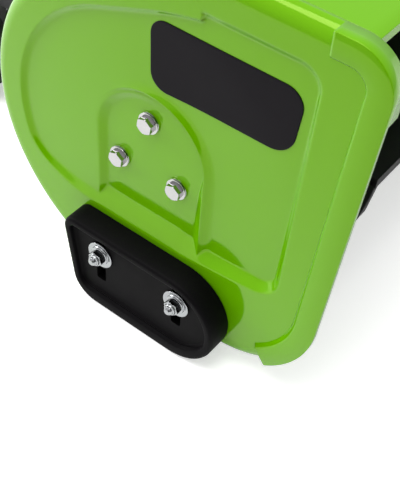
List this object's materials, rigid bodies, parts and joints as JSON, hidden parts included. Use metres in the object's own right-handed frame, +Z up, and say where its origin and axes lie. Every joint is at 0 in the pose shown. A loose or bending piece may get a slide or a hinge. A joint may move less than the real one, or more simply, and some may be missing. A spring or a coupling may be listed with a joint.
{
  "type": "cordless snow shovel",
  "caption": "Battery snow shovel: belt-driven auger between green side walls on adjustable skid shoes, with wheels, battery housing, telescoping shaft and D-handle.",
  "frame": {"origin": "on the ground, in the middle of the outline seen from above", "axes": "+X to the machine's left, across its working width; -Y is the front, where it takes the snow; +Z is up"},
  "size_m": [0.366, 0.8094, 0.8105],
  "materials": {
    "green_gloss": "glossy moulded green plastic",
    "black_matte": "fine-textured moulded black plastic",
    "black_metal": "black powder coat",
    "zinc": "bright zinc plate",
    "steel": "bare steel",
    "alu": "drawn aluminium",
    "grey_cast": "die-cast aluminium",
    "rubber": "moulded black rubber",
    "label_black": "bare satin label stock",
    "circuit": "lacquered circuit board",
    "trigger_orange": "moulded orange plastic"
  },
  "bodies": {
    "machine": {"right_side_wall": "green_gloss", "left_side_wall": "green_gloss", "auger_shroud": "green_gloss", "scraper_bar": "black_metal", "scraper_screws": "zinc", "snow_vanes": "black_matte", "side_label": "label_black", "shoe_bolts": "zinc", "shoe_washers": "zinc", "shoe_nuts": "zinc", "right_bearing_housing": "grey_cast", "left_bearing_housing": "grey_cast", "bearing_bolts": "zinc", "auger_bearings": "steel", "drive_plate": "black_metal", "plate_screws": "zinc", "motor_can": "steel", "motor_screws": "zinc", "drive_belt": "rubber", "belt_cover": "black_matte", "cover_screws": "zinc", "lower_rear_housing": "black_matte", "upper_rear_housing": "green_gloss", "housing_bolts": "zinc", "control_board": "circuit", "terminal_block": "black_matte", "axle": "zinc", "axle_clips": "steel", "lower_tube": "black_metal", "tube_bolt": "zinc", "telescope_collar": "black_matte"},
    "auger": {"auger_shaft": "steel", "auger_tube": "black_metal", "auger_flights": "black_matte", "center_paddles": "black_matte", "auger_bolts": "zinc", "auger_pulley": "grey_cast"},
    "motor_rotor": {"motor_shaft": "steel", "motor_pulley": "steel"},
    "right_wheel": {"right_wheel": "black_matte", "right_tyre": "rubber"},
    "left_wheel": {"left_wheel": "black_matte", "left_tyre": "rubber"},
    "right_shoe": {"right_skid_shoe": "black_matte"},
    "left_shoe": {"left_skid_shoe": "black_matte"},
    "battery": {"battery_case": "black_matte", "battery_cells": "alu"},
    "battery_latch": {"battery_latch": "trigger_orange"},
    "handle": {"upper_tube": "alu", "front_handle_shell": "black_matte", "rear_handle_shell": "black_matte", "handle_screws": "zinc", "trigger_pin": "zinc", "trigger_switch": "black_matte"},
    "trigger": {"trigger": "trigger_orange"},
    "lock_button": {"lock_button": "trigger_orange"},
    "auxiliary_handle": {"aux_clamp": "black_matte", "aux_handle": "black_metal"},
    "clamp_knob": {"clamp_knob": "black_matte"},
    "collar_knob": {"collar_knob": "black_matte"}
  },
  "joints": [
    {"name": "auger_spin", "type": "hinge", "parent": "machine", "child": "auger", "pos_m": [0, -0.28725, 0.1075], "axis": [1, 0, 0], "continuous": true},
    {"name": "motor_spin", "type": "hinge", "parent": "machine", "child": "motor_rotor", "pos_m": [0.12, -0.13725, 0.1675], "axis": [1, 0, 0], "continuous": true},
    {"name": "right_wheel_spin", "type": "hinge", "parent": "machine", "child": "right_wheel", "pos_m": [-0.086, -0.07225, 0.035], "axis": [1, 0, 0], "continuous": true},
    {"name": "left_wheel_spin", "type": "hinge", "parent": "machine", "child": "left_wheel", "pos_m": [0.086, -0.07225, 0.035], "axis": [1, 0, 0], "continuous": true},
    {"name": "right_shoe_height", "type": "slide", "parent": "machine", "child": "right_shoe", "axis": [0, 0, 1], "range_m": [-0.0035, 0.012]},
    {"name": "left_shoe_height", "type": "slide", "parent": "machine", "child": "left_shoe", "axis": [0, 0, 1], "range_m": [-0.0035, 0.012]},
    {"name": "battery_slide", "type": "slide", "parent": "machine", "child": "battery", "axis": [0, 1, 0], "range_m": [0, 0.15]},
    {"name": "battery_latch_press", "type": "slide", "parent": "battery", "child": "battery_latch", "axis": [0, 0, -1], "range_m": [0, 0.0025], "stiffness_N_per_m": 600, "springref_m": -0.002},
    {"name": "shaft_length", "type": "slide", "parent": "machine", "child": "handle", "axis": [0, 0.6, 0.8], "range_m": [-0.19, 0.07]},
    {"name": "trigger_squeeze", "type": "hinge", "parent": "handle", "child": "trigger", "pos_m": [-0.034, 0.37655, 0.7799], "axis": [0, -0.8, 0.6], "range_deg": [0, 5.5], "stiffness_Nm_per_rad": 0.6, "springref_deg": -11.46},
    {"name": "lock_button_press", "type": "slide", "parent": "handle", "child": "lock_button", "axis": [0, 0.8, -0.6], "range_m": [0, 0.003], "stiffness_N_per_m": 500, "springref_m": -0.002},
    {"name": "auxiliary_handle_slide", "type": "slide", "parent": "machine", "child": "auxiliary_handle", "axis": [0, 0.6, 0.8], "range_m": [-0.12, 0.11]},
    {"name": "clamp_knob_turn", "type": "hinge", "parent": "auxiliary_handle", "child": "clamp_knob", "pos_m": [0, 0.07975, 0.3175], "axis": [1, 0, 0], "continuous": true},
    {"name": "collar_knob_turn", "type": "hinge", "parent": "machine", "child": "collar_knob", "pos_m": [0, 0.11795, 0.5001], "axis": [1, 0, 0], "continuous": true}
  ],
  "couplings": [
    {"joint": "motor_spin", "follows": "auger_spin", "ratio": 2.4062}
  ]
}
